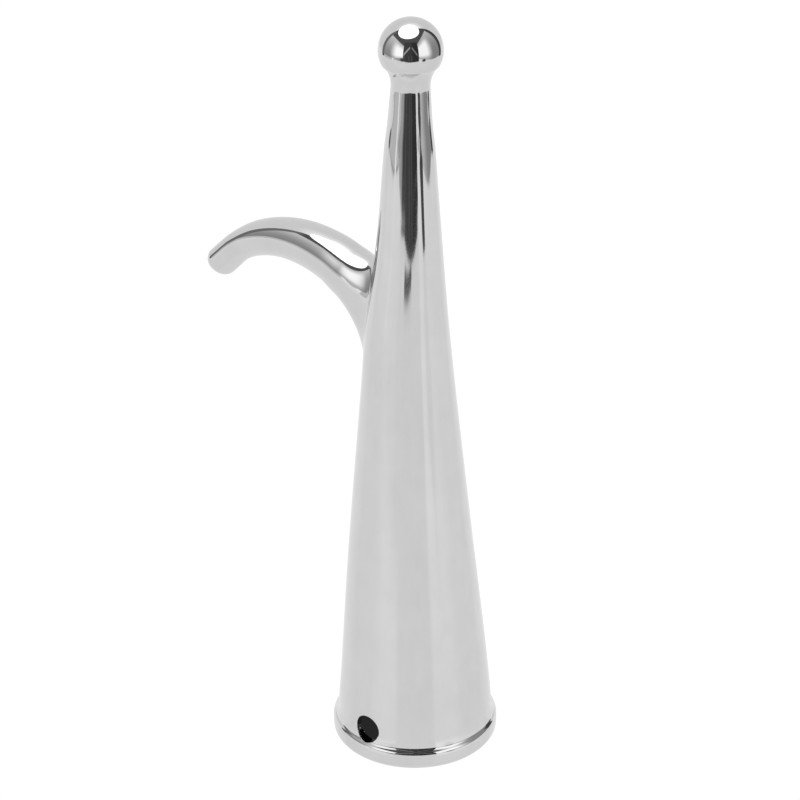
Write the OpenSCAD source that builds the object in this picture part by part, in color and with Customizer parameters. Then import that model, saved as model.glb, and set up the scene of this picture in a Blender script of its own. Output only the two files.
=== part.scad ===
// Boat hook head: a tapered socket for a pole, with a ball for pushing and a hook for pulling.
// The socket's axis is Z, its mouth is at z = 0, and the hook points along -X.

/* [Socket] */
// Outside diameter at the mouth
mouth_d = 35.4; // [35:0.1:36]
// Wall thickness of the hollow part
wall = 1.8; // [1.4:0.1:2.2]
// Depth of the hollow, from the mouth to its round end
hollow_l = 112; // [90:1:120]
// Diameter of the neck, just under the ball
neck_d = 8.06; // [7.9:0.02:8.3]
// Height of the seam that the ball sits on
seat_z = 163.4; // [163.2:0.05:163.6]
// Radius of the flare between the neck and the seam
flare_r = 7.05; // [6.5:0.05:7.5]
// Most that the wall thickens on the hook's side
hook_side = 2.75; // [2:0.05:3]

/* [Cross hole] */
// Diameter of the hole for a quarter-inch bolt
hole_d = 6.35; // [5:0.05:7]
// Height of the hole above the mouth
hole_z = 8; // [8:0.1:12]

/* [Mouth ring] */
// Outside diameter of the bead
ring_d = 37.6; // [37.3:0.1:37.9]
// Height of the bead, with the sweep that carries it into the wall
ring_h = 7.2; // [7:0.1:7.6]
// Rounding of the bead's lower edge
ring_round = 1.8; // [1.4:0.1:2]
// Radius of the crown at the top of the bead's face
crown_r = 2.2; // [1.5:0.1:2.8]
// Radius of the sweep where it meets the wall
sweep_r = 8.1; // [7:0.1:9]

/* [Ball] */
// Diameter of the ball
ball_d = 13.75; // [13:0.05:15]
// Height of the ball's centre
ball_z = 166.4; // [166:0.1:167]
// Diameter of the spigot under the ball
spigot_d = 4.6; // [3:0.1:5]
// Length of the spigot
spigot_l = 14; // [6:1:20]

/* [Hook] */
// Height of the middle of the saddle on the socket
saddle_z = 105; // [103:0.5:107]
// Reach of the saddle above its middle
saddle_up = 12; // [10:0.5:14]
// Reach of the saddle below its middle
saddle_down = 18; // [16:0.5:22]
// Half-angle that the saddle wraps round the socket at its top
wrap_up = 45; // [40:1:50]
// Half-angle that it wraps at its bottom
wrap_down = 30; // [28:1:36]

/* [Hidden] */
$fn = 96;

// Height of the straight part at the mouth
straight_z = 5;
// Outside of the socket as [height, radius] up to the neck
taper = [
    [0, mouth_d / 2],
    [straight_z, mouth_d / 2],
    [20, 16.45],
    [60, 12.15],
    [100, 8.15],
    [128, 6.11],
    [144, 5.06],
    [150, 4.5],
    [155, 4.22],
    [160, neck_d / 2]
];
// Extra thickness on the hook's side as [height, share of the most]
fairing = [
    [0, 0],
    [15, 0],
    [50, 0.6],
    [88, 0.93],
    [104, 1],
    [118, 0.62],
    [128, 0.46],
    [136, 0.4],
    [144, 0.34],
    [150, 0.26],
    [155, 0.17],
    [159, 0.08],
    [162, 0]
];
// Hook's middle line and section as [x, z, half height, half width]
arm = [
    [-17.5, 110.8, 6.35, 5.5],
    [-22.5, 112.9, 5.7, 5.2],
    [-29.3, 114.1, 5.2, 4.8],
    [-36.3, 113.8, 4.6, 4.4],
    [-43.1, 111.9, 4.05, 4],
    [-49.1, 108.5, 3.55, 3.6],
    [-54.5, 103.45, 3.6, 3.6]
];

// How far above its middle the arm is widest, as a share of its half height
arm_egg = 0.17;
// How hard the saddle's blend follows the socket's wall, above, below and at the sides
blend_wall = [5.5, 30, 6];
// How hard it follows the arm, above, below and at the sides
blend_arm = [4, 10, 11];

// Leans off the vertical, in degrees: the flare where it meets the ball
flare_lean = 45.5;
// The bead's outline where its crown ends and its sweep starts, and at its steepest
crown_lean = 17.5;
steep_lean = 50;
// The socket's wall where the sweep meets it
wall_lean = 4;

// Flat sides round the socket and the hook, in place of true circles
socket_sides = 72;
hook_sides = 40;
// Share of the blend between one ring of points and the next, and the same in stations of the arm
blend_step = 0.08;
arm_step = 0.25;
// Gap between two stations of the arm that shows its direction
look = 0.02;
// Share of the saddle's outline that shows which way is inward
inward_share = 0.99;
// Clearance that keeps the saddle's underside off the socket's wall
weld_gap = 0.05;
// Radial clearance round the spigot
spigot_gap = 0.05;
// Bevel at the lip of the mouth
lip = 0.5;
// Height of the hollow's rounded end, and where it starts
dome_h = 6;
dome_z = hollow_l - dome_h;
// Steps up the hollow, and the height of one step inside the mouth ring
hollow_steps = 12;
ring_step = 0.5;
// Overshoot of a cutting tool past the face it cuts
past = 1;

// Slope of a station list's column k at station i
function slope(s, k, i) =
    i == 0 ? (s[1][k] - s[0][k]) / (s[1][0] - s[0][0]) :
    i == len(s) - 1 ? 0 :
    (s[i + 1][k] - s[i - 1][k]) / (s[i + 1][0] - s[i - 1][0]);

// The span of a station list that holds x
function span(s, x, i = 0) = i >= len(s) - 2 || x < s[i + 1][0] ? i : span(s, x, i + 1);

// A smooth curve through column k of a station list
function curve(s, k, x) =
    let (
        i = span(s, x),
        h = s[i + 1][0] - s[i][0],
        t = min(max((x - s[i][0]) / h, 0), 1)
    )
    hermite(s[i][k], slope(s, k, i) * h, s[i + 1][k], slope(s, k, i + 1) * h, t);

// Cubic from a to b that leaves along da and arrives along db
function hermite(a, da, b, db, t) =
    a * (2 * pow(t, 3) - 3 * pow(t, 2) + 1)
    + da * (pow(t, 3) - 2 * pow(t, 2) + t)
    + b * (3 * pow(t, 2) - 2 * pow(t, 3))
    + db * (pow(t, 3) - pow(t, 2));

// Height where the flare starts to open
flare_z = seat_z - flare_r * sin(flare_lean);

// Radius of the turned outside, flare included
function turned_r(z) =
    let (rise = max(z - flare_z, 0))
    curve(taper, 1, min(z, flare_z)) + flare_r - sqrt(pow(flare_r, 2) - pow(rise, 2));

// A point on the socket's outside, at an angle round from the hook's side
function skin(z, a, out = 0) =
    let (r = turned_r(z) + hook_side * max(curve(fairing, 1, z), 0) * pow(cos(a / 2), 4) + out)
    [-r * cos(a), r * sin(a), z];

// Heights of the rings of points that make the socket's outside
socket_rings = concat(
    [0, 2.5, 5, 7.5, 10, 13, 16],
    [for (z = [20:6:152]) z],
    [154, 156, 157.5],
    [for (i = [0:4]) flare_z + i / 4 * (seat_z - flare_z)]
);

// A closed skin over rings of points, each ring with the same number of points
module lofted(rings) {
    n = len(rings[0]);
    last = len(rings) - 1;
    sides = [
        for (i = [0:last - 1])
        for (j = [0:n - 1])
        let (a = i * n + j, b = i * n + (j + 1) % n)
        each [[a, a + n, b], [b, a + n, b + n]]
    ];
    foot = [for (j = [0:n - 1]) j];
    head = [for (j = [n - 1:-1:0]) last * n + j];
    polyhedron(points = [for (r = rings) each r], faces = concat([foot, head], sides), convexity = 6);
}

// The hollow inside the socket, with a bevelled lip and a domed end
module hollow() {
    mouth_r = mouth_d / 2 - wall;
    dome_r = turned_r(dome_z) - wall;
    rotate_extrude() polygon(concat(
        [[0, -past], [mouth_r + lip, -past], [mouth_r + lip, 0], [mouth_r, lip]],
        [
            for (i = [0:hollow_steps])
            let (z = straight_z + (dome_z - straight_z) * i / hollow_steps)
            [turned_r(z) - wall, z]
        ],
        [for (a = [15:15:90]) [dome_r * cos(a), dome_z + dome_r * sin(a)]]
    ));
}

// The hole through both walls, and through the top of the bead's sweep
module cross_hole() {
    translate([0, 0, hole_z])
        rotate([90, 0, 0])
        cylinder(d = hole_d, h = ring_d + 2 * past, center = true);
}

module socket() {
    color("silver") difference() {
        lofted([
            for (z = socket_rings)
            [for (j = [0:socket_sides - 1]) skin(z, -j * 360 / socket_sides)]
        ]);
        hollow();
        cross_hole();
        translate([0, 0, seat_z - spigot_l])
            cylinder(d = spigot_d, h = spigot_l + past);
    }
}

// Points up an arc of a turned outline, from a point and a lean at its foot to a lean at its top
function lean_arc(r, z, radius, from, to, steps) =
    let (way = to > from ? radius : -radius)
    [
        for (i = [1:steps])
        let (a = from + (to - from) * i / steps)
        [r + way * (cos(a) - cos(from)), z + way * (sin(a) - sin(from))]
    ];

// A bead round the mouth. Its lower edge is rounded, its face is crowned at the top, and a shoulder
// and a fillet of one radius carry it into the long sweep that meets the socket's wall.
module mouth_ring() {
    ring_r = ring_d / 2;
    proud = ring_r - mouth_d / 2;
    start = acos((ring_round - proud) / ring_round);
    crown_in = crown_r * (1 - cos(crown_lean));
    sweep_in = sweep_r * (cos(wall_lean) - cos(crown_lean));
    sweep_up = sweep_r * (sin(crown_lean) - sin(wall_lean));
    turn_in = ring_r - turned_r(ring_h) - crown_in - sweep_in;
    turn_r = turn_in / 2 / (cos(crown_lean) - cos(steep_lean));
    turn_up = 2 * turn_r * (sin(steep_lean) - sin(crown_lean));
    face_z = ring_h - sweep_up - turn_up - crown_r * sin(crown_lean);
    crown = lean_arc(ring_r, face_z, crown_r, 0, crown_lean, 3);
    shoulder = lean_arc(crown[2][0], crown[2][1], turn_r, crown_lean, steep_lean, 4);
    fillet = lean_arc(shoulder[3][0], shoulder[3][1], turn_r, steep_lean, crown_lean, 4);
    sweep = lean_arc(fillet[3][0], fillet[3][1], sweep_r, crown_lean, wall_lean, 5);
    color("gainsboro") difference() {
        rotate_extrude() polygon(concat(
            [
                for (i = [0:6])
                let (a = -start * (1 - i / 6))
                [ring_r - ring_round + ring_round * cos(a), ring_round + ring_round * sin(a)]
            ],
            [[ring_r, face_z]],
            crown,
            shoulder,
            fillet,
            sweep,
            [for (z = [ring_h - ring_step:-ring_step:straight_z]) [turned_r(z), z]]
        ));
        cross_hole();
    }
}

// The arm's row of numbers u stations along it, as [x, z, half height, half width]
function row_slope(i) =
    i == 0 ? arm[1] - arm[0] :
    i == len(arm) - 1 ? arm[i] - arm[i - 1] :
    (arm[i + 1] - arm[i - 1]) / 2;
function arm_at(u) =
    let (i = min(floor(u), len(arm) - 2))
    hermite(arm[i], row_slope(i), arm[i + 1], row_slope(i + 1), u - i);

// Direction of the arm u stations along it
function arm_way(u) =
    let (
        behind = arm_at(max(u - look / 2, 0)),
        ahead = arm_at(min(u + look / 2, len(arm) - 1)),
        d = [ahead[0] - behind[0], 0, ahead[1] - behind[1]]
    )
    d / norm(d);

// A ring of points round the arm, shrunk to a size and moved on by a reach at the rounded tip
function arm_ring(u, size = 1, reach = 0) =
    let (s = arm_at(u), way = arm_way(u), up = [way[2], 0, -way[0]])
    [
        for (j = [0:hook_sides - 1])
        let (v = j * 360 / hook_sides)
        [s[0], 0, s[1]] + way * reach
        + up * s[2] * size * (cos(v) + arm_egg * pow(sin(v), 2))
        + [0, s[3] * size * sin(v), 0]
    ];

// A point of the saddle's outline on the socket, or of the outline shrunk to a share of its size
function saddle_at(v, size = 1) =
    skin(
        saddle_z + size * (cos(v) > 0 ? saddle_up : saddle_down) * cos(v),
        size * ((wrap_up + wrap_down) / 2 + (wrap_up - wrap_down) / 2 * cos(v)) * sin(v),
        weld_gap
    );

// One of three values, above, below and at the sides, by the angle round the arm
function by_side(values, v) =
    pow(cos(v), 2) * (cos(v) > 0 ? values[0] : values[1]) + pow(sin(v), 2) * values[2];

// A ring of points of the blend, t of the way from the saddle's outline to the arm
function blend_ring(t) =
    let (start = arm_ring(0), ahead = arm_ring(look))
    [
        for (j = [0:hook_sides - 1])
        let (
            v = j * 360 / hook_sides,
            foot = saddle_at(v),
            inward = saddle_at(v, inward_share) - foot,
            onward = ahead[j] - start[j]
        )
        hermite(
            foot,
            inward / norm(inward) * by_side(blend_wall, v),
            start[j],
            onward / norm(onward) * by_side(blend_arm, v),
            t
        )
    ];

// The prong, its saddle's underside a hair off the socket's wall
module hook() {
    end = len(arm) - 1;
    tip_r = arm[end][2];
    color("lightsteelblue") lofted(concat(
        [
            for (size = [0.02, 0.2, 0.4, 0.6, 0.8])
            [for (j = [0:hook_sides - 1]) saddle_at(j * 360 / hook_sides, size)]
        ],
        [for (t = [0:blend_step:1 - blend_step / 2]) blend_ring(t)],
        [for (u = [0:arm_step:end]) arm_ring(u)],
        [for (a = [15, 30, 45, 60, 75, 88]) arm_ring(end, cos(a), tip_r * sin(a))]
    ));
}

// The ball, with a flat seat on the flare and a spigot down into the neck
module ball_tip() {
    color("gainsboro") {
        intersection() {
            translate([0, 0, ball_z]) sphere(d = ball_d);
            translate([0, 0, seat_z]) cylinder(d = ball_d + past, h = ball_d);
        }
        translate([0, 0, seat_z - spigot_l])
            cylinder(d = spigot_d - 2 * spigot_gap, h = spigot_l);
    }
}

socket();
mouth_ring();
hook();
ball_tip();
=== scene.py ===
import math

import bmesh
import bpy
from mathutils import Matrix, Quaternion, Vector


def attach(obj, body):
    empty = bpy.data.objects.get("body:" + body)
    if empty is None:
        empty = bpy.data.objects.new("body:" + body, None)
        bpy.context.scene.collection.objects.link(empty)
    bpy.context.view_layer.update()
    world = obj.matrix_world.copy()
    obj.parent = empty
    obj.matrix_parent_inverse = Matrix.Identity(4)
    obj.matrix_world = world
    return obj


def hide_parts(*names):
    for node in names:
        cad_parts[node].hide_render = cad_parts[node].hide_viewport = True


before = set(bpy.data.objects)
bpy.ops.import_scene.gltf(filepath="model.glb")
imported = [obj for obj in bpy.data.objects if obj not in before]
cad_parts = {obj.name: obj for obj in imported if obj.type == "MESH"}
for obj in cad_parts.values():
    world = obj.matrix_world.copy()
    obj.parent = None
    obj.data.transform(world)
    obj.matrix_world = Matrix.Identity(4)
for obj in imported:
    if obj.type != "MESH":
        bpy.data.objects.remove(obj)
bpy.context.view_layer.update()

# ---------------------------------------------------------------------------
# Sizes, in metres. They are the ones the CAD part is made to.
# ---------------------------------------------------------------------------
MM = 0.001
MOUTH_R = 17.7 * MM          # outside of the socket at its mouth
WALL = 1.8 * MM              # wall of the hollow part
DOME_Z = 106 * MM            # where the hollow starts to round over
SEAT_Z = 163.4 * MM          # seam that the ball sits on
FLARE_R = 7.05 * MM          # flare between the neck and the seam
FLARE_LEAN = 45.5            # degrees off the vertical where the flare meets the ball
HOOK_SIDE = 2.75 * MM        # most that the wall thickens on the hook's side
SPIGOT_L = 14 * MM           # bore in the neck for the ball's spigot
HOLE_R = 3.175 * MM          # cross hole
HOLE_Z = 8 * MM
RING_R = 18.8 * MM           # bead round the mouth
RING_H = 7.2 * MM            # where the bead's sweep has reached the wall
RING_ROUND = 1.8 * MM        # rounding of the bead's lower edge
CROWN_R = 2.2 * MM           # crown at the top of the bead's face
SWEEP_R = 8.1 * MM           # last sweep into the wall
CROWN_LEAN = 17.5            # degrees off the vertical: where the crown ends and the sweep starts
STEEP_LEAN = 50              # between the bead's shoulder and its fillet
WALL_LEAN = 4                # where the sweep meets the wall
BALL_R = 6.875 * MM
BALL_Z = 166.4 * MM
SADDLE_Z = 105 * MM          # middle of the hook's saddle
SADDLE_UP = 12 * MM
SADDLE_DOWN = 18 * MM
WRAP_UP = 45                 # degrees that the saddle wraps round the socket
WRAP_DOWN = 30

# Outside of the socket as (height, radius) in millimetres
TAPER = [
    (0, 17.7),
    (5, 17.7),
    (20, 16.45),
    (60, 12.15),
    (100, 8.15),
    (128, 6.11),
    (144, 5.06),
    (150, 4.5),
    (155, 4.22),
    (160, 4.03),
]
# Extra thickness on the hook's side as (height in millimetres, share of the most)
FAIRING = [
    (0, 0),
    (15, 0),
    (50, 0.6),
    (88, 0.93),
    (104, 1),
    (118, 0.62),
    (128, 0.46),
    (136, 0.4),
    (144, 0.34),
    (150, 0.26),
    (155, 0.17),
    (159, 0.08),
    (162, 0),
]
# Hook's middle line and section as (x, z, half height, half width) in millimetres
ARM = [
    (-17.5, 110.8, 6.35, 5.5),
    (-22.5, 112.9, 5.7, 5.2),
    (-29.3, 114.1, 5.2, 4.8),
    (-36.3, 113.8, 4.6, 4.4),
    (-43.1, 111.9, 4.05, 4.0),
    (-49.1, 108.5, 3.55, 3.6),
    (-54.5, 103.45, 3.6, 3.6),
]
ARM_EGG = 0.17               # how far above its middle the arm is widest, as a share of its half height
# How hard the saddle's blend follows the wall and the arm: above, below and at the sides
BLEND_WALL = (5.5, 30, 6)
BLEND_ARM = (4, 10, 11)

CAM_AZIMUTH = 39.10
CAM_ELEVATION = 27.74
CAM_DISTANCE = 0.64035
CAM_LENS = 131.85
CAM_ROLL = -0.503
CAM_TARGET_Z = 0.08507
CAM_TARGET_SIDE = -0.002856

# Strength of the studio's lights, where 1 shows as white
FLOOR_LIGHT = 0.9
FLOOR_GLOSS = 0.45           # how much of the table's reflection is kept
LEFT_LIGHT = 1.45
RIGHT_LIGHT = 1.38
BACK_LIGHT = 0.86            # at the foot of the tent's back
BACK_TOP_LIGHT = 1.4         # at its top
TOP_LIGHT = 2.2
WORLD_LIGHT = 0.13           # what is left where the tent has no panel

# Places in the studio: metres, and degrees round the socket's axis from the camera to its right
ROOF_Z = 0.87
TOP_SIZE = (0.82, 0.77)      # top light, across and towards the camera
TOP_RIGHTWARD = -0.10        # its middle, to the right of the axis and towards the camera
TOP_TOWARDS = 0.045
GAP_HALF = 27                # half of the gap that the camera looks in through
GAP_DISTANCE = 0.4
GAP_TOP = 0.58
STREAKS = (-23, -7, 3)       # lighter streaks in the gap
STREAK_HALF = 0.7
BACK_MIDDLE = 185
BACK_PANELS = 10
BACK_SPAN = 12.1             # of one panel
BACK_DISTANCE = 0.9
BACK_TOP = 2.6
# Upright cards that shine evenly, as (name, azimuth faced, distance, first and last azimuth, foot,
# top, strength)
EVEN_CARDS = [
    ("left_frame", -108, 0.54, -114, -102.5, 0.0, 0.8, 0.2),
    ("left_foot", -108, 0.53, -111, -105, 0.0, 0.05, 0.08),
    ("left_skirt", -75, 0.475, -103, -40, 0.0, 0.05, 0.68),
    # Painted shade: a thin dark line where the left panel meets the table
    ("left_crease_shade", -75, 0.47, -103, -50, 0.0, 0.004, 0.3),
    ("left_shine", -65, 0.465, -68, -62, 0.0, 0.05, 1.1),
    ("right_frame", 118, 0.44, 111, 124.5, 0.0, 0.65, 0.07),
]
# Corners of the two dark shapes beside the gap, as (azimuth, height)
WEDGE = [(-18, 0.001), (-18, 0.107), (-40, 0.084), (-58, 0.06), (-46, 0.01), (-37, 0.001)]
WEDGE_DISTANCE = 0.438
BLOT = [(37.5, 0.035), (41, 0.001), (50, 0.001), (52.5, 0.035), (45, 0.077)]
BLOT_DISTANCE = 0.39
# Corners of the painted shadow, a dark strip that lies on the table before the gap, as (azimuth, distance)
TABLE_SHADOW = [(-20, 0.375), (1, 0.375), (1, 0.394), (-20, 0.394)]
# Folds that lean together over the gap, as (name, azimuth at the foot, azimuth at the apex, strength)
FOLDS = [("left", -26, -3.5, 0.46), ("right", 22, 3, 0.27)]


# ---------------------------------------------------------------------------
# Curves
# ---------------------------------------------------------------------------
def hermite(a, da, b, db, t):
    """Cubic from a to b that leaves along da and arrives along db."""
    t2, t3 = t * t, t * t * t
    return a * (2 * t3 - 3 * t2 + 1) + da * (t3 - 2 * t2 + t) + b * (3 * t2 - 2 * t3) + db * (t3 - t2)


def curve(stations, x):
    """Smooth curve through (x, value) stations, level at its last one."""
    last = len(stations) - 1
    i = 0
    while i < last - 1 and x >= stations[i + 1][0]:
        i += 1

    def slope(k):
        if k == last:
            return 0
        lo = max(k - 1, 0)
        return (stations[k + 1][1] - stations[lo][1]) / (stations[k + 1][0] - stations[lo][0])

    h = stations[i + 1][0] - stations[i][0]
    t = min(max((x - stations[i][0]) / h, 0), 1)
    return hermite(stations[i][1], slope(i) * h, stations[i + 1][1], slope(i + 1) * h, t)


def turned_r(z):
    """Radius of the socket's turned outside, flare included."""
    flare_z = SEAT_Z - FLARE_R * math.sin(math.radians(FLARE_LEAN))
    taper_r = curve(TAPER, min(z, flare_z) / MM) * MM
    rise = max(z - flare_z, 0)
    return taper_r + FLARE_R - math.sqrt(FLARE_R ** 2 - rise ** 2)


def skin(z, angle):
    """Point on the socket's outside, at an angle in radians round from the hook's side."""
    r = turned_r(z) + HOOK_SIDE * max(curve(FAIRING, z / MM), 0) * math.cos(angle / 2) ** 4
    return Vector((-r * math.cos(angle), r * math.sin(angle), z))


def arm_at(u):
    """Middle of the hook's arm u stations along it, and its half height and half width."""
    rows = [Vector(row) * MM for row in ARM]
    last = len(rows) - 1

    def slope(k):
        if k == 0:
            return rows[1] - rows[0]
        if k == last:
            return rows[last] - rows[last - 1]
        return (rows[k + 1] - rows[k - 1]) / 2

    i = min(int(u), last - 1)
    x, z, high, wide = hermite(rows[i], slope(i), rows[i + 1], slope(i + 1), u - i)
    return Vector((x, 0, z)), high, wide


def arm_way(u):
    """Direction of the hook's arm u stations along it."""
    step = 0.01
    behind = arm_at(max(u - step, 0))[0]
    ahead = arm_at(min(u + step, len(ARM) - 1))[0]
    return (ahead - behind).normalized()


# ---------------------------------------------------------------------------
# Meshes
# ---------------------------------------------------------------------------
COLUMNS = 240                # round the socket, one to each cell across the hole's window
HOLE_CELLS = 20              # cells across the square window that each end of the cross hole sits in
WINDOW = 4.5 * MM            # half the window's height
HOLE_EDGE = 0.22 * MM        # rounding at the hole's edges
RING_COLUMNS = 720           # round the bead, close enough to follow the hole's cut
HOOK_COLUMNS = 120
BALL_COLUMNS = 160
POLE_LEAN = 88.5             # degrees up a rounded end to its last ring, just short of its pole
EDGE_ANGLE = math.radians(38)    # an edge that turns by more than this stays sharp
MERGE = 1e-7                 # points closer than this are one


def round_ring(radius, z, columns=COLUMNS):
    """Ring of points about the Z axis, the first at -Y."""
    points = []
    for j in range(columns):
        angle = -math.pi / 2 + 2 * math.pi * j / columns
        points.append(Vector((-radius * math.cos(angle), radius * math.sin(angle), z)))
    return points


def skin_ring(z):
    """Ring of points on the socket's outside, the first at -Y."""
    return [skin(z, -math.pi / 2 + 2 * math.pi * j / COLUMNS) for j in range(COLUMNS)]


def arc(centre, radius, start, end, steps):
    """Points (r, z) of an arc about centre, from one angle to another in degrees."""
    points = []
    for i in range(steps + 1):
        angle = math.radians(start + (end - start) * i / steps)
        points.append((centre[0] + radius * math.cos(angle), centre[1] + radius * math.sin(angle)))
    return points


def spread(start, end, step):
    """Even values from start to end, about a step apart."""
    count = max(1, round(abs(end - start) / step))
    return [start + (end - start) * i / count for i in range(count + 1)]


class Skin:
    """Points and faces of one closed surface."""

    def __init__(self):
        self.points = []
        self.faces = []

    def ring(self, points):
        """Adds a ring of points and returns their numbers."""
        first = len(self.points)
        self.points.extend(points)
        return list(range(first, len(self.points)))

    def band(self, a, b, skip=lambda j: False):
        """Joins two rings with a band of quads, apart from the cells that skip names."""
        n = len(a)
        for j in range(n):
            if not skip(j):
                k = (j + 1) % n
                self.faces.append((a[j], a[k], b[k], b[j]))

    def stack(self, rings):
        """Adds rings of points, joined in order, and returns their numbers."""
        numbers = [self.ring(points) for points in rings]
        for a, b in zip(numbers, numbers[1:]):
            self.band(a, b)
        return numbers

    def close(self, ring, centre):
        """Closes a ring with a fan of triangles about a point."""
        middle = len(self.points)
        self.points.append(centre)
        n = len(ring)
        for j in range(n):
            self.faces.append((ring[j], ring[(j + 1) % n], middle))

    def piece(self, name, node, material):
        """Makes the Blender object, which stands for a CAD node and rides on the one body."""
        mesh = bpy.data.meshes.new(name)
        mesh.from_pydata([tuple(p) for p in self.points], [], self.faces)
        work = bmesh.new()
        work.from_mesh(mesh)
        bmesh.ops.remove_doubles(work, verts=work.verts, dist=MERGE)
        bmesh.ops.recalc_face_normals(work, faces=work.faces)
        for face in work.faces:
            face.smooth = True
        for edge in work.edges:
            edge.smooth = edge.calc_face_angle(0) < EDGE_ANGLE
        loose = [e for e in work.edges if not e.is_manifold]
        if loose:
            raise RuntimeError(f"{name} has {len(loose)} open edges")
        work.to_mesh(mesh)
        work.free()
        obj = bpy.data.objects.new(name, mesh)
        bpy.context.scene.collection.objects.link(obj)
        mesh.materials.append(material)
        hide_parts(node)
        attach(obj, "root")
        return obj


def window_loop():
    """Steps (column, row) round the edge of the hole's window, counted from its centre."""
    half = HOLE_CELLS // 2
    bottom = [(i, -half) for i in range(-half, half)]
    right = [(half, i) for i in range(-half, half)]
    top = [(-i, half) for i in range(-half, half)]
    left = [(-half, -i) for i in range(-half, half)]
    return bottom + right + top + left


def hole_rings(side, outer_r, inner_r):
    """Rings from the window in the outside, in through the cross hole, to the window in the hollow.

    side is -1 or 1 along Y. outer_r and inner_r give the two walls' radii at a height.
    """
    loop = window_loop()
    half = HOLE_CELLS // 2
    cell_angle = 2 * math.pi / COLUMNS
    turn = [
        math.atan2(row / half * WINDOW, outer_r(HOLE_Z) * math.sin(column * cell_angle))
        for column, row in loop
    ]

    def on_wall(radius_at, x, z, depth):
        return Vector((x, side * (math.sqrt(radius_at(z) ** 2 - x * x) + depth), z))

    def patch(radius_at, t):
        """A ring t of the way from the window's edge to the hole's rounded rim."""
        points = []
        for (column, row), angle in zip(loop, turn):
            edge_z = HOLE_Z + row / half * WINDOW
            edge_x = radius_at(edge_z) * math.sin(column * cell_angle)
            rim = HOLE_R + HOLE_EDGE
            x = edge_x + (rim * math.cos(angle) - edge_x) * t
            z = edge_z + (HOLE_Z + rim * math.sin(angle) - edge_z) * t
            points.append(on_wall(radius_at, x, z, 0))
        return points

    def rim_ring(radius_at, angle, way):
        """A ring of the rounded rim. way is -1 on the outside and 1 in the hollow."""
        radius = HOLE_R + HOLE_EDGE * (1 - math.sin(angle))
        depth = way * HOLE_EDGE * (1 - math.cos(angle))
        return [
            on_wall(radius_at, radius * math.cos(a), HOLE_Z + radius * math.sin(a), depth) for a in turn
        ]

    steps = 8
    closeness = 1.6              # above 1 the rings crowd together towards the rim
    fade = [1 - (1 - i / steps) ** closeness for i in range(steps + 1)]
    bend = [math.radians(15 * i) for i in range(1, 7)]
    outside = [patch(outer_r, t) for t in fade] + [rim_ring(outer_r, a, -1) for a in bend]
    inside = [rim_ring(inner_r, a, 1) for a in reversed(bend)] + [patch(inner_r, t) for t in reversed(fade)]
    return outside + inside


def make_socket(material):
    """Tapered body: outside, seat and bore for the ball, hollow, mouth, and the hole through both walls."""
    body = Skin()
    half = HOLE_CELLS // 2
    window = [HOLE_Z + WINDOW * i / half for i in range(-half, half + 1)]

    def inner_r(z):
        return turned_r(z) - WALL

    def skip(j):
        """True for the columns of the two windows, which are centred at -Y and +Y."""
        return (j + half) % (COLUMNS // 2) < HOLE_CELLS

    foot = 0.3 * MM
    lip = 0.5 * MM
    seam = 0.04 * MM
    bore = 2.3 * MM
    bore_end = SEAT_Z - SPIGOT_L
    neck_z = 157 * MM
    mouth_row, wall_row, neck_row, inner_row = 0.8 * MM, 0.9 * MM, 0.25 * MM, 1.8 * MM
    outer_rows = spread(foot, window[0], mouth_row)[:-1] + window
    outer_rows += spread(window[-1], neck_z, wall_row)[1:]
    outer_rows += spread(neck_z, SEAT_Z - seam, neck_row)[1:]
    outer = [round_ring(r, z) for r, z in arc((MOUTH_R - foot, foot), foot, -90, -15, 5)]
    first_row = len(outer)
    outer += [skin_ring(z) for z in outer_rows]
    seat_r = turned_r(SEAT_Z - seam)
    for a in (0.4, 0.8, 1.2, math.pi / 2):
        outer.append(round_ring(seat_r - seam * (1 - math.cos(a)), SEAT_Z - seam + seam * math.sin(a)))
    outer += [round_ring(bore, SEAT_Z), round_ring(bore, bore_end)]

    mouth_r = MOUTH_R - WALL
    inner = [round_ring(r, z) for r, z in arc((mouth_r + lip, lip), lip, 270, 195, 5)]
    inner_first = len(inner)
    inner_rows = spread(lip, window[0], mouth_row)[:-1] + window
    inner_rows += spread(window[-1], DOME_Z, inner_row)[1:]
    inner += [round_ring(inner_r(z), z) for z in inner_rows]
    dome_r = inner_r(DOME_Z)
    inner += [round_ring(r, z) for r, z in arc((0, DOME_Z), dome_r, 6, 84, 13)]

    for rings, first, rows in ((outer, first_row, outer_rows), (inner, inner_first, inner_rows)):
        numbers = [body.ring(points) for points in rings]
        low = first + rows.index(window[0])
        for i, (a, b) in enumerate(zip(numbers, numbers[1:])):
            if low <= i < low + HOLE_CELLS:
                body.band(a, b, skip)
            else:
                body.band(a, b)
        if rings is outer:
            outer_foot = numbers[0]
            body.close(numbers[-1], Vector((0, 0, bore_end)))
        else:
            body.band(outer_foot, numbers[0])
            body.close(numbers[-1], Vector((0, 0, DOME_Z + dome_r)))
    for side in (-1, 1):
        body.stack(hole_rings(side, turned_r, inner_r))
    return body.piece("socket_body", "socket", material)


def lean_arc(start, radius, lean_from, lean_to, steps):
    """Points (r, z) up an arc of a turned outline, between two leans off the vertical in degrees."""
    way = radius if lean_to > lean_from else -radius
    first = math.radians(lean_from)
    points = []
    for i in range(1, steps + 1):
        lean = first + (math.radians(lean_to) - first) * i / steps
        r = start[0] + way * (math.cos(lean) - math.cos(first))
        z = start[1] + way * (math.sin(lean) - math.sin(first))
        points.append((r, z))
    return points


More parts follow.
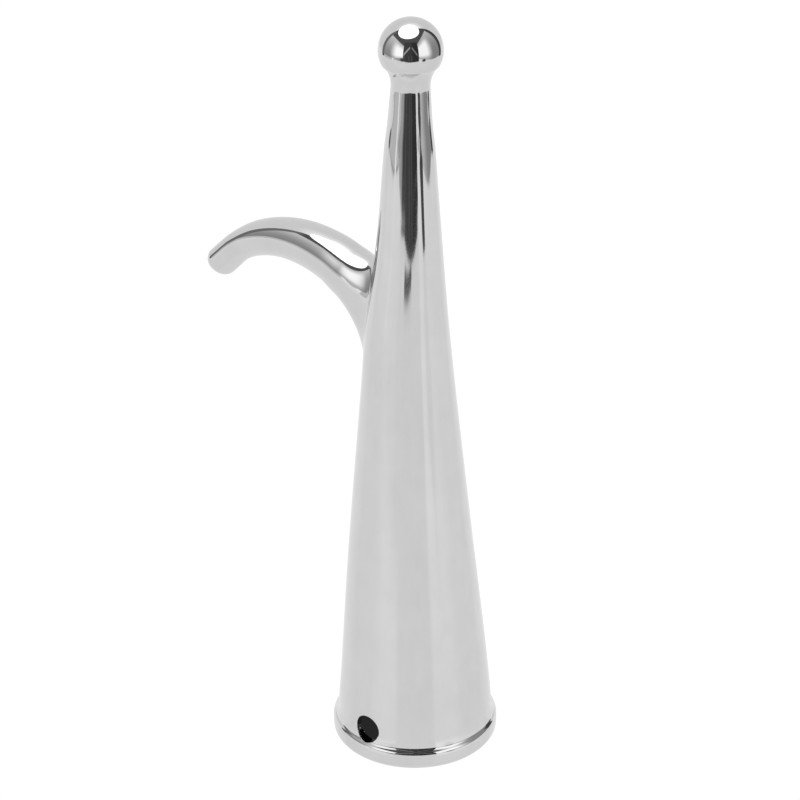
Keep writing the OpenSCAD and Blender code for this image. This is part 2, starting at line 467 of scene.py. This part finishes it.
def ring_outline():
    """Points (r, z) up the bead: rounded edge, face, crown, shoulder, fillet and the sweep to the wall."""
    wall, crown, steep = (math.radians(lean) for lean in (WALL_LEAN, CROWN_LEAN, STEEP_LEAN))
    crown_in = CROWN_R * (1 - math.cos(crown))
    sweep_in = SWEEP_R * (math.cos(wall) - math.cos(crown))
    turn_in = RING_R - turned_r(RING_H) - crown_in - sweep_in
    turn_r = turn_in / 2 / (math.cos(crown) - math.cos(steep))
    turn_up = 2 * turn_r * (math.sin(steep) - math.sin(crown))
    sweep_up = SWEEP_R * (math.sin(crown) - math.sin(wall))
    face_z = RING_H - sweep_up - turn_up - CROWN_R * math.sin(crown)
    proud = RING_R - MOUTH_R
    start = math.degrees(math.acos((RING_ROUND - proud) / RING_ROUND))
    points = arc((RING_R - RING_ROUND, RING_ROUND), RING_ROUND, -start, 0, 16)
    points.append((RING_R, face_z))
    points += lean_arc(points[-1], CROWN_R, 0, CROWN_LEAN, 8)
    points += lean_arc(points[-1], turn_r, CROWN_LEAN, STEEP_LEAN, 12)
    points += lean_arc(points[-1], turn_r, STEEP_LEAN, CROWN_LEAN, 12)
    points += lean_arc(points[-1], SWEEP_R, CROWN_LEAN, WALL_LEAN, 14)
    return points


def clear_of_hole(point):
    """The point, brought down to the cross hole's wall if it lies in the hole or above it."""
    if abs(point.x) >= HOLE_R:
        return point
    wall_z = HOLE_Z - math.sqrt(HOLE_R ** 2 - point.x ** 2)
    return Vector((point.x, point.y, min(point.z, wall_z)))


def make_ring(material):
    """Bead round the mouth, with its top cut by the two ends of the cross hole."""
    ring = Skin()
    tuck = 0.02 * MM
    outline = ring_outline()
    foot_z = outline[0][1]
    outline.append((turned_r(RING_H) - tuck, RING_H))
    outline += [(turned_r(z) - tuck, z) for z in (6.4 * MM, 5.7 * MM, 5 * MM, foot_z)]
    rows = [round_ring(r, z, RING_COLUMNS) for r, z in outline]
    numbers = [ring.ring([clear_of_hole(point) for point in row]) for row in rows]
    for a, b in zip(numbers, numbers[1:] + numbers[:1]):
        ring.band(a, b)
    return ring.piece("mouth_bead", "mouth_ring", material)


def make_ball(material):
    """Ball with its seat on the flare and its spigot in the neck."""
    ball = Skin()
    spigot = 2.25 * MM
    end_gap = 0.2 * MM
    spigot_end = SEAT_Z - SPIGOT_L + end_gap
    low = math.degrees(math.asin((SEAT_Z - BALL_Z) / BALL_R))
    outline = [(spigot, spigot_end), (spigot, SEAT_Z)]
    outline += arc((0, BALL_Z), BALL_R, low, POLE_LEAN, 90)
    numbers = ball.stack([round_ring(r, z, BALL_COLUMNS) for r, z in outline])
    ball.close(numbers[0], Vector((0, 0, spigot_end)))
    ball.close(numbers[-1], Vector((0, 0, BALL_Z + BALL_R)))
    return ball.piece("ball", "ball_tip", material)


def saddle_at(v, size, out):
    """Point of the saddle's outline on the socket, shrunk to a share of its size, and lifted by out."""
    reach = SADDLE_UP if math.cos(v) > 0 else SADDLE_DOWN
    wrap = (WRAP_UP + WRAP_DOWN) / 2 + (WRAP_UP - WRAP_DOWN) / 2 * math.cos(v)
    z = SADDLE_Z + size * reach * math.cos(v)
    angle = size * math.radians(wrap) * math.sin(v)
    point = skin(z, angle)
    return point + Vector((-math.cos(angle), math.sin(angle), 0)) * out


def by_side(values, v):
    """One of three lengths, above, below and at the sides, by the angle round the arm."""
    edge = values[0] if math.cos(v) > 0 else values[1]
    return (math.cos(v) ** 2 * edge + math.sin(v) ** 2 * values[2]) * MM


def arm_ring(u, size=1.0, reach=0.0):
    """Ring of points round the arm, shrunk to a size and moved on by a reach at the rounded tip."""
    middle, high, wide = arm_at(u)
    way = arm_way(u)
    up = Vector((way.z, 0, -way.x))
    side = Vector((0, 1, 0))
    points = []
    for j in range(HOOK_COLUMNS):
        v = 2 * math.pi * j / HOOK_COLUMNS
        rise = high * (math.cos(v) + ARM_EGG * math.sin(v) ** 2)
        points.append(middle + way * reach + (up * rise + side * wide * math.sin(v)) * size)
    return points


def make_hook(material):
    """Curved prong whose saddle leaves the socket's skin without a crease."""
    hook = Skin()
    turns = [2 * math.pi * j / HOOK_COLUMNS for j in range(HOOK_COLUMNS)]
    proud = 0.002 * MM
    tuck = -0.08 * MM
    start = arm_ring(0)
    onward = [(ahead - end).normalized() for ahead, end in zip(arm_ring(0.02), start)]
    feet = [saddle_at(v, 1, proud) for v in turns]
    inward = [(saddle_at(v, 0.99, proud) - foot).normalized() for v, foot in zip(turns, feet)]
    rings = [[saddle_at(v, size, tuck) for v in turns] for size in (0.02, 0.2, 0.4, 0.6, 0.8, 0.95)]
    steps = 48
    closeness = 1.4              # above 1 the rings crowd together towards the wall
    for i in range(steps):
        t = (i / steps) ** closeness
        rings.append([
            hermite(foot, lean * by_side(BLEND_WALL, v), end, way * by_side(BLEND_ARM, v), t)
            for foot, lean, end, way, v in zip(feet, inward, start, onward, turns)
        ])
    last = len(ARM) - 1
    arm_step = 0.06
    rings += [arm_ring(u) for u in spread(0, last, arm_step)]
    tip = arm_at(last)[1]
    tip_steps = 19
    for i in range(1, tip_steps + 1):
        angle = math.radians(POLE_LEAN * i / tip_steps)
        rings.append(arm_ring(last, math.cos(angle), tip * math.sin(angle)))
    numbers = hook.stack(rings)
    hook.close(numbers[0], saddle_at(0, 0, tuck))
    hook.close(numbers[-1], arm_at(last)[0] + arm_way(last) * tip)
    return hook.piece("hook_prong", "hook", material)


# ---------------------------------------------------------------------------
# Materials
# ---------------------------------------------------------------------------
def add(tree, kind, **inputs):
    """Adds a node, and sets its named sockets to values or links them to other nodes' outputs."""
    node = tree.nodes.new(kind)
    for name, value in inputs.items():
        socket = node.inputs[name.replace("_", " ")]
        if isinstance(value, bpy.types.NodeSocket):
            tree.links.new(value, socket)
        else:
            socket.default_value = value
    return node


def noise(tree, place, scale, stretch=(1, 1, 1), detail=3.0, rough=0.5):
    """Noise over the object's own space, stretched by dividing its scale along an axis."""
    mapping = add(tree, "ShaderNodeMapping", Vector=place)
    mapping.inputs["Scale"].default_value = tuple(scale / s for s in stretch)
    node = add(tree, "ShaderNodeTexNoise", Vector=mapping.outputs[0], Scale=1.0, Detail=detail,
               Roughness=rough)
    return node.outputs["Fac"]


def remap(tree, value, low, high, to_low, to_high):
    """Maps a value smoothly from one range to another."""
    node = add(tree, "ShaderNodeMapRange", Value=value)
    node.interpolation_type = "SMOOTHSTEP"
    for name, number in (("From Min", low), ("From Max", high), ("To Min", to_low), ("To Max", to_high)):
        node.inputs[name].default_value = number
    return node.outputs["Result"]


def maths(tree, operation, a, b):
    """One maths node with two values or sockets."""
    node = tree.nodes.new("ShaderNodeMath")
    node.operation = operation
    for i, value in enumerate((a, b)):
        if isinstance(value, bpy.types.NodeSocket):
            tree.links.new(value, node.inputs[i])
        else:
            node.inputs[i].default_value = value
    return node.outputs[0]


# Darker and lighter steel, as (place on the ramp, colour)
STEEL_TONES = [(0.3, (0.625, 0.625, 0.63, 1)), (0.7, (0.675, 0.675, 0.675, 1))]
BROAD_BUMP = 0.00004
FINE_BUMP = 0.0000015


def steel(name, mirror, satin, satin_top, satin_bottom):
    """Polished stainless steel: mirror above satin_top and satin below satin_bottom, in metres."""
    material = bpy.data.materials.new(name)
    material.use_nodes = True
    tree = material.node_tree
    shader = tree.nodes["Principled BSDF"]
    place = add(tree, "ShaderNodeTexCoord").outputs["Object"]
    height = add(tree, "ShaderNodeSeparateXYZ", Vector=place).outputs["Z"]

    cloud = noise(tree, place, 90, detail=4)
    smudge = noise(tree, place, 420, stretch=(1, 1, 2.5), detail=5)
    tone = maths(tree, "ADD", maths(tree, "MULTIPLY", cloud, 0.6), maths(tree, "MULTIPLY", smudge, 0.4))
    ramp = add(tree, "ShaderNodeValToRGB", Fac=tone)
    for element, (position, colour) in zip(ramp.color_ramp.elements, STEEL_TONES):
        element.position = position
        element.color = colour
    tree.links.new(ramp.outputs["Color"], shader.inputs["Base Color"])
    shader.inputs["Metallic"].default_value = 1.0

    finish = remap(tree, height, satin_bottom, satin_top, satin, mirror)
    wear = remap(tree, noise(tree, place, 700, stretch=(1, 1, 6), detail=2), 0.62, 0.78, 0.0, 0.05)
    tree.links.new(maths(tree, "ADD", finish, wear), shader.inputs["Roughness"])

    ripple = noise(tree, place, 110, stretch=(1, 1, 3), detail=1.5)
    scratch = noise(tree, place, 2400, stretch=(1, 1, 14), detail=2)
    broad = add(tree, "ShaderNodeBump", Height=ripple, Strength=0.35, Distance=BROAD_BUMP)
    fine = add(tree, "ShaderNodeBump", Height=scratch, Normal=broad.outputs[0], Strength=0.25,
               Distance=FINE_BUMP)
    tree.links.new(fine.outputs[0], shader.inputs["Normal"])
    return material


# ---------------------------------------------------------------------------
# Studio: a white table in a light tent that is open towards the camera
# ---------------------------------------------------------------------------
def studio_point(azimuth, distance, z):
    """Point about the socket's axis. Azimuth 0 is towards the camera and 90 to its right."""
    turn = math.radians(CAM_AZIMUTH)
    towards = Vector((math.sin(turn), -math.cos(turn), 0))
    right = Vector((math.cos(turn), math.sin(turn), 0))
    a = math.radians(azimuth)
    return towards * distance * math.cos(a) + right * distance * math.sin(a) + Vector((0, 0, z))


def glow(name, strength):
    """Material that shines evenly."""
    material = bpy.data.materials.new(name)
    material.use_nodes = True
    tree = material.node_tree
    tree.nodes.clear()
    lamp = add(tree, "ShaderNodeEmission", Strength=strength)
    out = tree.nodes.new("ShaderNodeOutputMaterial")
    tree.links.new(lamp.outputs[0], out.inputs["Surface"])
    return material


def position_along(tree, way):
    """How far a point lies along a direction from the origin."""
    place = tree.nodes.new("ShaderNodeNewGeometry").outputs["Position"]
    along = add(tree, "ShaderNodeVectorMath")
    along.operation = "DOT_PRODUCT"
    tree.links.new(place, along.inputs[0])
    along.inputs[1].default_value = way
    return along.outputs["Value"]


def glow_across(name, way, low, high, low_at, high_at):
    """Material that shines with one strength before low_at along a direction, and another past high_at."""
    material = glow(name, low)
    tree = material.node_tree
    level = remap(tree, position_along(tree, way), low_at, high_at, low, high)
    tree.links.new(level, tree.nodes["Emission"].inputs["Strength"])
    return material


def panel_light(name, way, grey_at, white_at, grey_rise, grey, fade, white):
    """Side panel's material: grey on its outer side and white on the side nearer the camera.

    The grey brightens between the heights grey_rise, from grey[0] to grey[1]. The white is dimmer
    near the table, and fades again between the heights fade.
    """
    material = glow(name, white)
    tree = material.node_tree
    height = position_along(tree, (0, 0, 1))
    across = remap(tree, position_along(tree, way), grey_at, white_at, 0, 1)
    outer = remap(tree, height, *grey_rise, *grey)
    dimmest = 0.45
    foot = remap(tree, height, 0.03, 0.16, dimmest * white, white)
    inner = maths(tree, "MULTIPLY", foot, remap(tree, height, *fade, 1, dimmest))
    more = maths(tree, "MULTIPLY", maths(tree, "SUBTRACT", inner, outer), across)
    tree.links.new(maths(tree, "ADD", outer, more), tree.nodes["Emission"].inputs["Strength"])
    return material


def card(name, corners, material):
    """Flat studio card. It shows in reflections only, so it never stands in front of a camera."""
    mesh = bpy.data.meshes.new(name)
    mesh.from_pydata([tuple(c) for c in corners], [], [tuple(range(len(corners)))])
    mesh.materials.append(material)
    obj = bpy.data.objects.new(name, mesh)
    bpy.context.scene.collection.objects.link(obj)
    obj.visible_camera = False
    obj.visible_shadow = False
    return obj


def upright(name, facing, distance, start, end, low, high, material):
    """Upright flat card a distance away at the azimuth it faces, which spans two azimuths."""
    def corner(azimuth, z):
        return studio_point(azimuth, distance / math.cos(math.radians(azimuth - facing)), z)

    corners = [corner(start, low), corner(end, low), corner(end, high), corner(start, high)]
    return card(name, corners, material)


def make_floor():
    """White table. It shines by itself except under the socket, where a painted shadow darkens it, and
    can't be seen from below.
    """
    half = 4.0
    shade_r, lit_r = 15.4 * MM, 17.4 * MM
    mesh = bpy.data.meshes.new("table")
    corners = [(-half, -half, 0), (half, -half, 0), (half, half, 0), (-half, half, 0)]
    mesh.from_pydata(corners, [], [(0, 1, 2, 3)])
    material = glow("table_white", FLOOR_LIGHT)
    tree = material.node_tree
    place = tree.nodes.new("ShaderNodeNewGeometry")
    away = tree.nodes.new("ShaderNodeVectorMath")
    away.operation = "LENGTH"
    tree.links.new(place.outputs["Position"], away.inputs[0])
    lit = remap(tree, away.outputs["Value"], shade_r, lit_r, 0.02, 1)
    camera = tree.nodes.new("ShaderNodeLightPath").outputs["Is Camera Ray"]
    full = add(tree, "ShaderNodeMapRange", Value=camera, To_Min=FLOOR_LIGHT, To_Max=1.0).outputs["Result"]
    lamp = tree.nodes["Emission"]
    tree.links.new(maths(tree, "MULTIPLY", lit, full), lamp.inputs["Strength"])
    gloss = add(tree, "ShaderNodeBsdfGlossy", Roughness=0.12)
    bounce = maths(tree, "MULTIPLY", add(tree, "ShaderNodeFresnel", IOR=1.45).outputs[0], FLOOR_GLOSS)
    tree.links.new(bounce, gloss.inputs["Color"])
    both = tree.nodes.new("ShaderNodeAddShader")
    tree.links.new(lamp.outputs[0], both.inputs[0])
    tree.links.new(gloss.outputs[0], both.inputs[1])
    clear = tree.nodes.new("ShaderNodeBsdfTransparent")
    pick = add(tree, "ShaderNodeMixShader", Fac=place.outputs["Backfacing"])
    tree.links.new(both.outputs[0], pick.inputs[1])
    tree.links.new(clear.outputs[0], pick.inputs[2])
    tree.links.new(pick.outputs[0], tree.nodes["Material Output"].inputs["Surface"])
    mesh.materials.append(material)
    obj = bpy.data.objects.new("table", mesh)
    bpy.context.scene.collection.objects.link(obj)


def make_top_light():
    """Oval soft light over the table, a little to the left."""
    data = bpy.data.lights.new("top_light", "AREA")
    data.shape = "ELLIPSE"
    data.size, data.size_y = TOP_SIZE
    data.energy = TOP_LIGHT * math.pi * data.size * data.size_y * math.pi / 4
    lamp = bpy.data.objects.new("top_light", data)
    bpy.context.scene.collection.objects.link(lamp)
    lamp.location = studio_point(90, TOP_RIGHTWARD, 0) + studio_point(0, TOP_TOWARDS, ROOF_Z)
    lamp.rotation_euler = (0, 0, math.radians(CAM_AZIMUTH))
    lamp.visible_camera = False


def make_side_panels():
    """White panels on the left and the right, and what edges them."""
    left = panel_light("left_light", studio_point(15, 1, 0), grey_at=-0.04, white_at=0.24,
                       grey_rise=(0.05, 0.65), grey=(0.33, 0.78), fade=(0.33, 0.6), white=LEFT_LIGHT)
    right = panel_light("right_light", studio_point(-6, 1, 0), grey_at=0.0, white_at=0.23,
                        grey_rise=(0.15, 0.75), grey=(0.32, 0.66), fade=(0.44, 0.7), white=RIGHT_LIGHT)
    upright("left_panel", -75, 0.485, -103, -GAP_HALF, 0.0, 0.6, left)
    upright("right_panel", 84, 0.43, GAP_HALF, 112, 0.0, 0.77, right)
    for name, facing, distance, first, last, foot, top, strength in EVEN_CARDS:
        upright(name, facing, distance, first, last, foot, top, glow(f"{name}_glow", strength))


def make_gap():
    """Dark gap that the camera looks in through, and the dark and grey shapes about it."""
    rightward = studio_point(90, 1, 0)
    wedge = glow_across("wedge_dark", rightward, low=0.45, high=0.07, low_at=-0.281, high_at=-0.224)
    card("left_wedge", [studio_point(azimuth, WEDGE_DISTANCE, z) for azimuth, z in WEDGE], wedge)
    blot = glow("blot_dark", 0.08)
    card("right_blot", [studio_point(azimuth, BLOT_DISTANCE, z) for azimuth, z in BLOT], blot)

    gap = glow_across("gap_dark", rightward, low=0.065, high=0.04, low_at=-0.02, high_at=0.08)
    upright("front_gap", 0, GAP_DISTANCE, -GAP_HALF, GAP_HALF, 0.0, GAP_TOP, gap)
    streak_distance = GAP_DISTANCE - 0.005
    for i, azimuth in enumerate(STREAKS):
        start, end = azimuth - STREAK_HALF, azimuth + STREAK_HALF
        upright(f"streak_{i}", 0, streak_distance, start, end, 0.01, 0.17, glow("streak_grey", 0.14))
    # Painted shadow on the table before the gap: a near-black strip that shows only in reflections
    shadow_z = 0.001
    corners = [studio_point(azimuth, distance, shadow_z) for azimuth, distance in TABLE_SHADOW]
    card("front_table_shadow", corners, glow("table_shadow_dark", 0.03))
    rise = Vector((0, 0, 0.055))
    for side, azimuth, apex_azimuth, strength in FOLDS:
        foot = studio_point(azimuth, 0.39, 0.145)
        apex = studio_point(apex_azimuth, 0.37, 0.335)
        corners = [foot, foot + rise, apex + rise, apex]
        card(f"fold_{side}", corners, glow(f"fold_{side}", strength))


def make_back():
    """Back of the tent, which is brighter towards its top."""
    back = glow_across("back_white", Vector((0, 0, 1)), BACK_LIGHT, BACK_TOP_LIGHT, low_at=0.9, high_at=2.4)
    for i in range(BACK_PANELS):
        azimuth = BACK_MIDDLE + (i - (BACK_PANELS - 1) / 2) * BACK_SPAN
        start, end = azimuth - BACK_SPAN / 2, azimuth + BACK_SPAN / 2
        upright(f"back_panel_{i}", azimuth, BACK_DISTANCE, start, end, 0.0, BACK_TOP, back)


def make_world():
    """Dim surroundings, which the camera itself sees as white."""
    world = bpy.data.worlds.new("studio")
    bpy.context.scene.world = world
    world.use_nodes = True
    tree = world.node_tree
    tree.nodes.clear()
    out = tree.nodes.new("ShaderNodeOutputWorld")
    seen = tree.nodes.new("ShaderNodeLightPath").outputs["Is Camera Ray"]
    level = add(tree, "ShaderNodeMapRange", Value=seen, To_Min=WORLD_LIGHT, To_Max=1.0)
    sky = add(tree, "ShaderNodeBackground", Strength=level.outputs["Result"])
    tree.links.new(sky.outputs[0], out.inputs["Surface"])


def make_camera():
    """Camera at the photograph's angle, with no shift and no depth of field."""
    data = bpy.data.cameras.new("camera")
    data.lens = CAM_LENS
    data.sensor_width = 36.0
    data.clip_start = 0.01
    camera = bpy.data.objects.new("camera", data)
    bpy.context.scene.collection.objects.link(camera)
    a, e = math.radians(CAM_AZIMUTH), math.radians(CAM_ELEVATION)
    back = Vector((math.sin(a) * math.cos(e), -math.cos(a) * math.cos(e), math.sin(e)))
    target = Vector((math.cos(a), math.sin(a), 0)) * CAM_TARGET_SIDE + Vector((0, 0, CAM_TARGET_Z))
    camera.location = target + back * CAM_DISTANCE
    camera.rotation_mode = "QUATERNION"
    roll = Quaternion((0, 0, 1), math.radians(CAM_ROLL))
    camera.rotation_quaternion = (-back).to_track_quat("-Z", "Y") @ roll
    bpy.context.scene.camera = camera


make_socket(steel("socket_steel", 0.05, 0.16, 0.115, 0.03))
make_ring(steel("ring_steel", 0.06, 0.06, 1.0, 0.9))
make_ball(steel("ball_steel", 0.03, 0.03, 1.0, 0.9))
make_hook(steel("hook_steel", 0.05, 0.05, 1.0, 0.9))
make_floor()
make_top_light()
make_side_panels()
make_gap()
make_back()
make_world()
make_camera()
bpy.context.scene.view_settings.view_transform = "Standard"
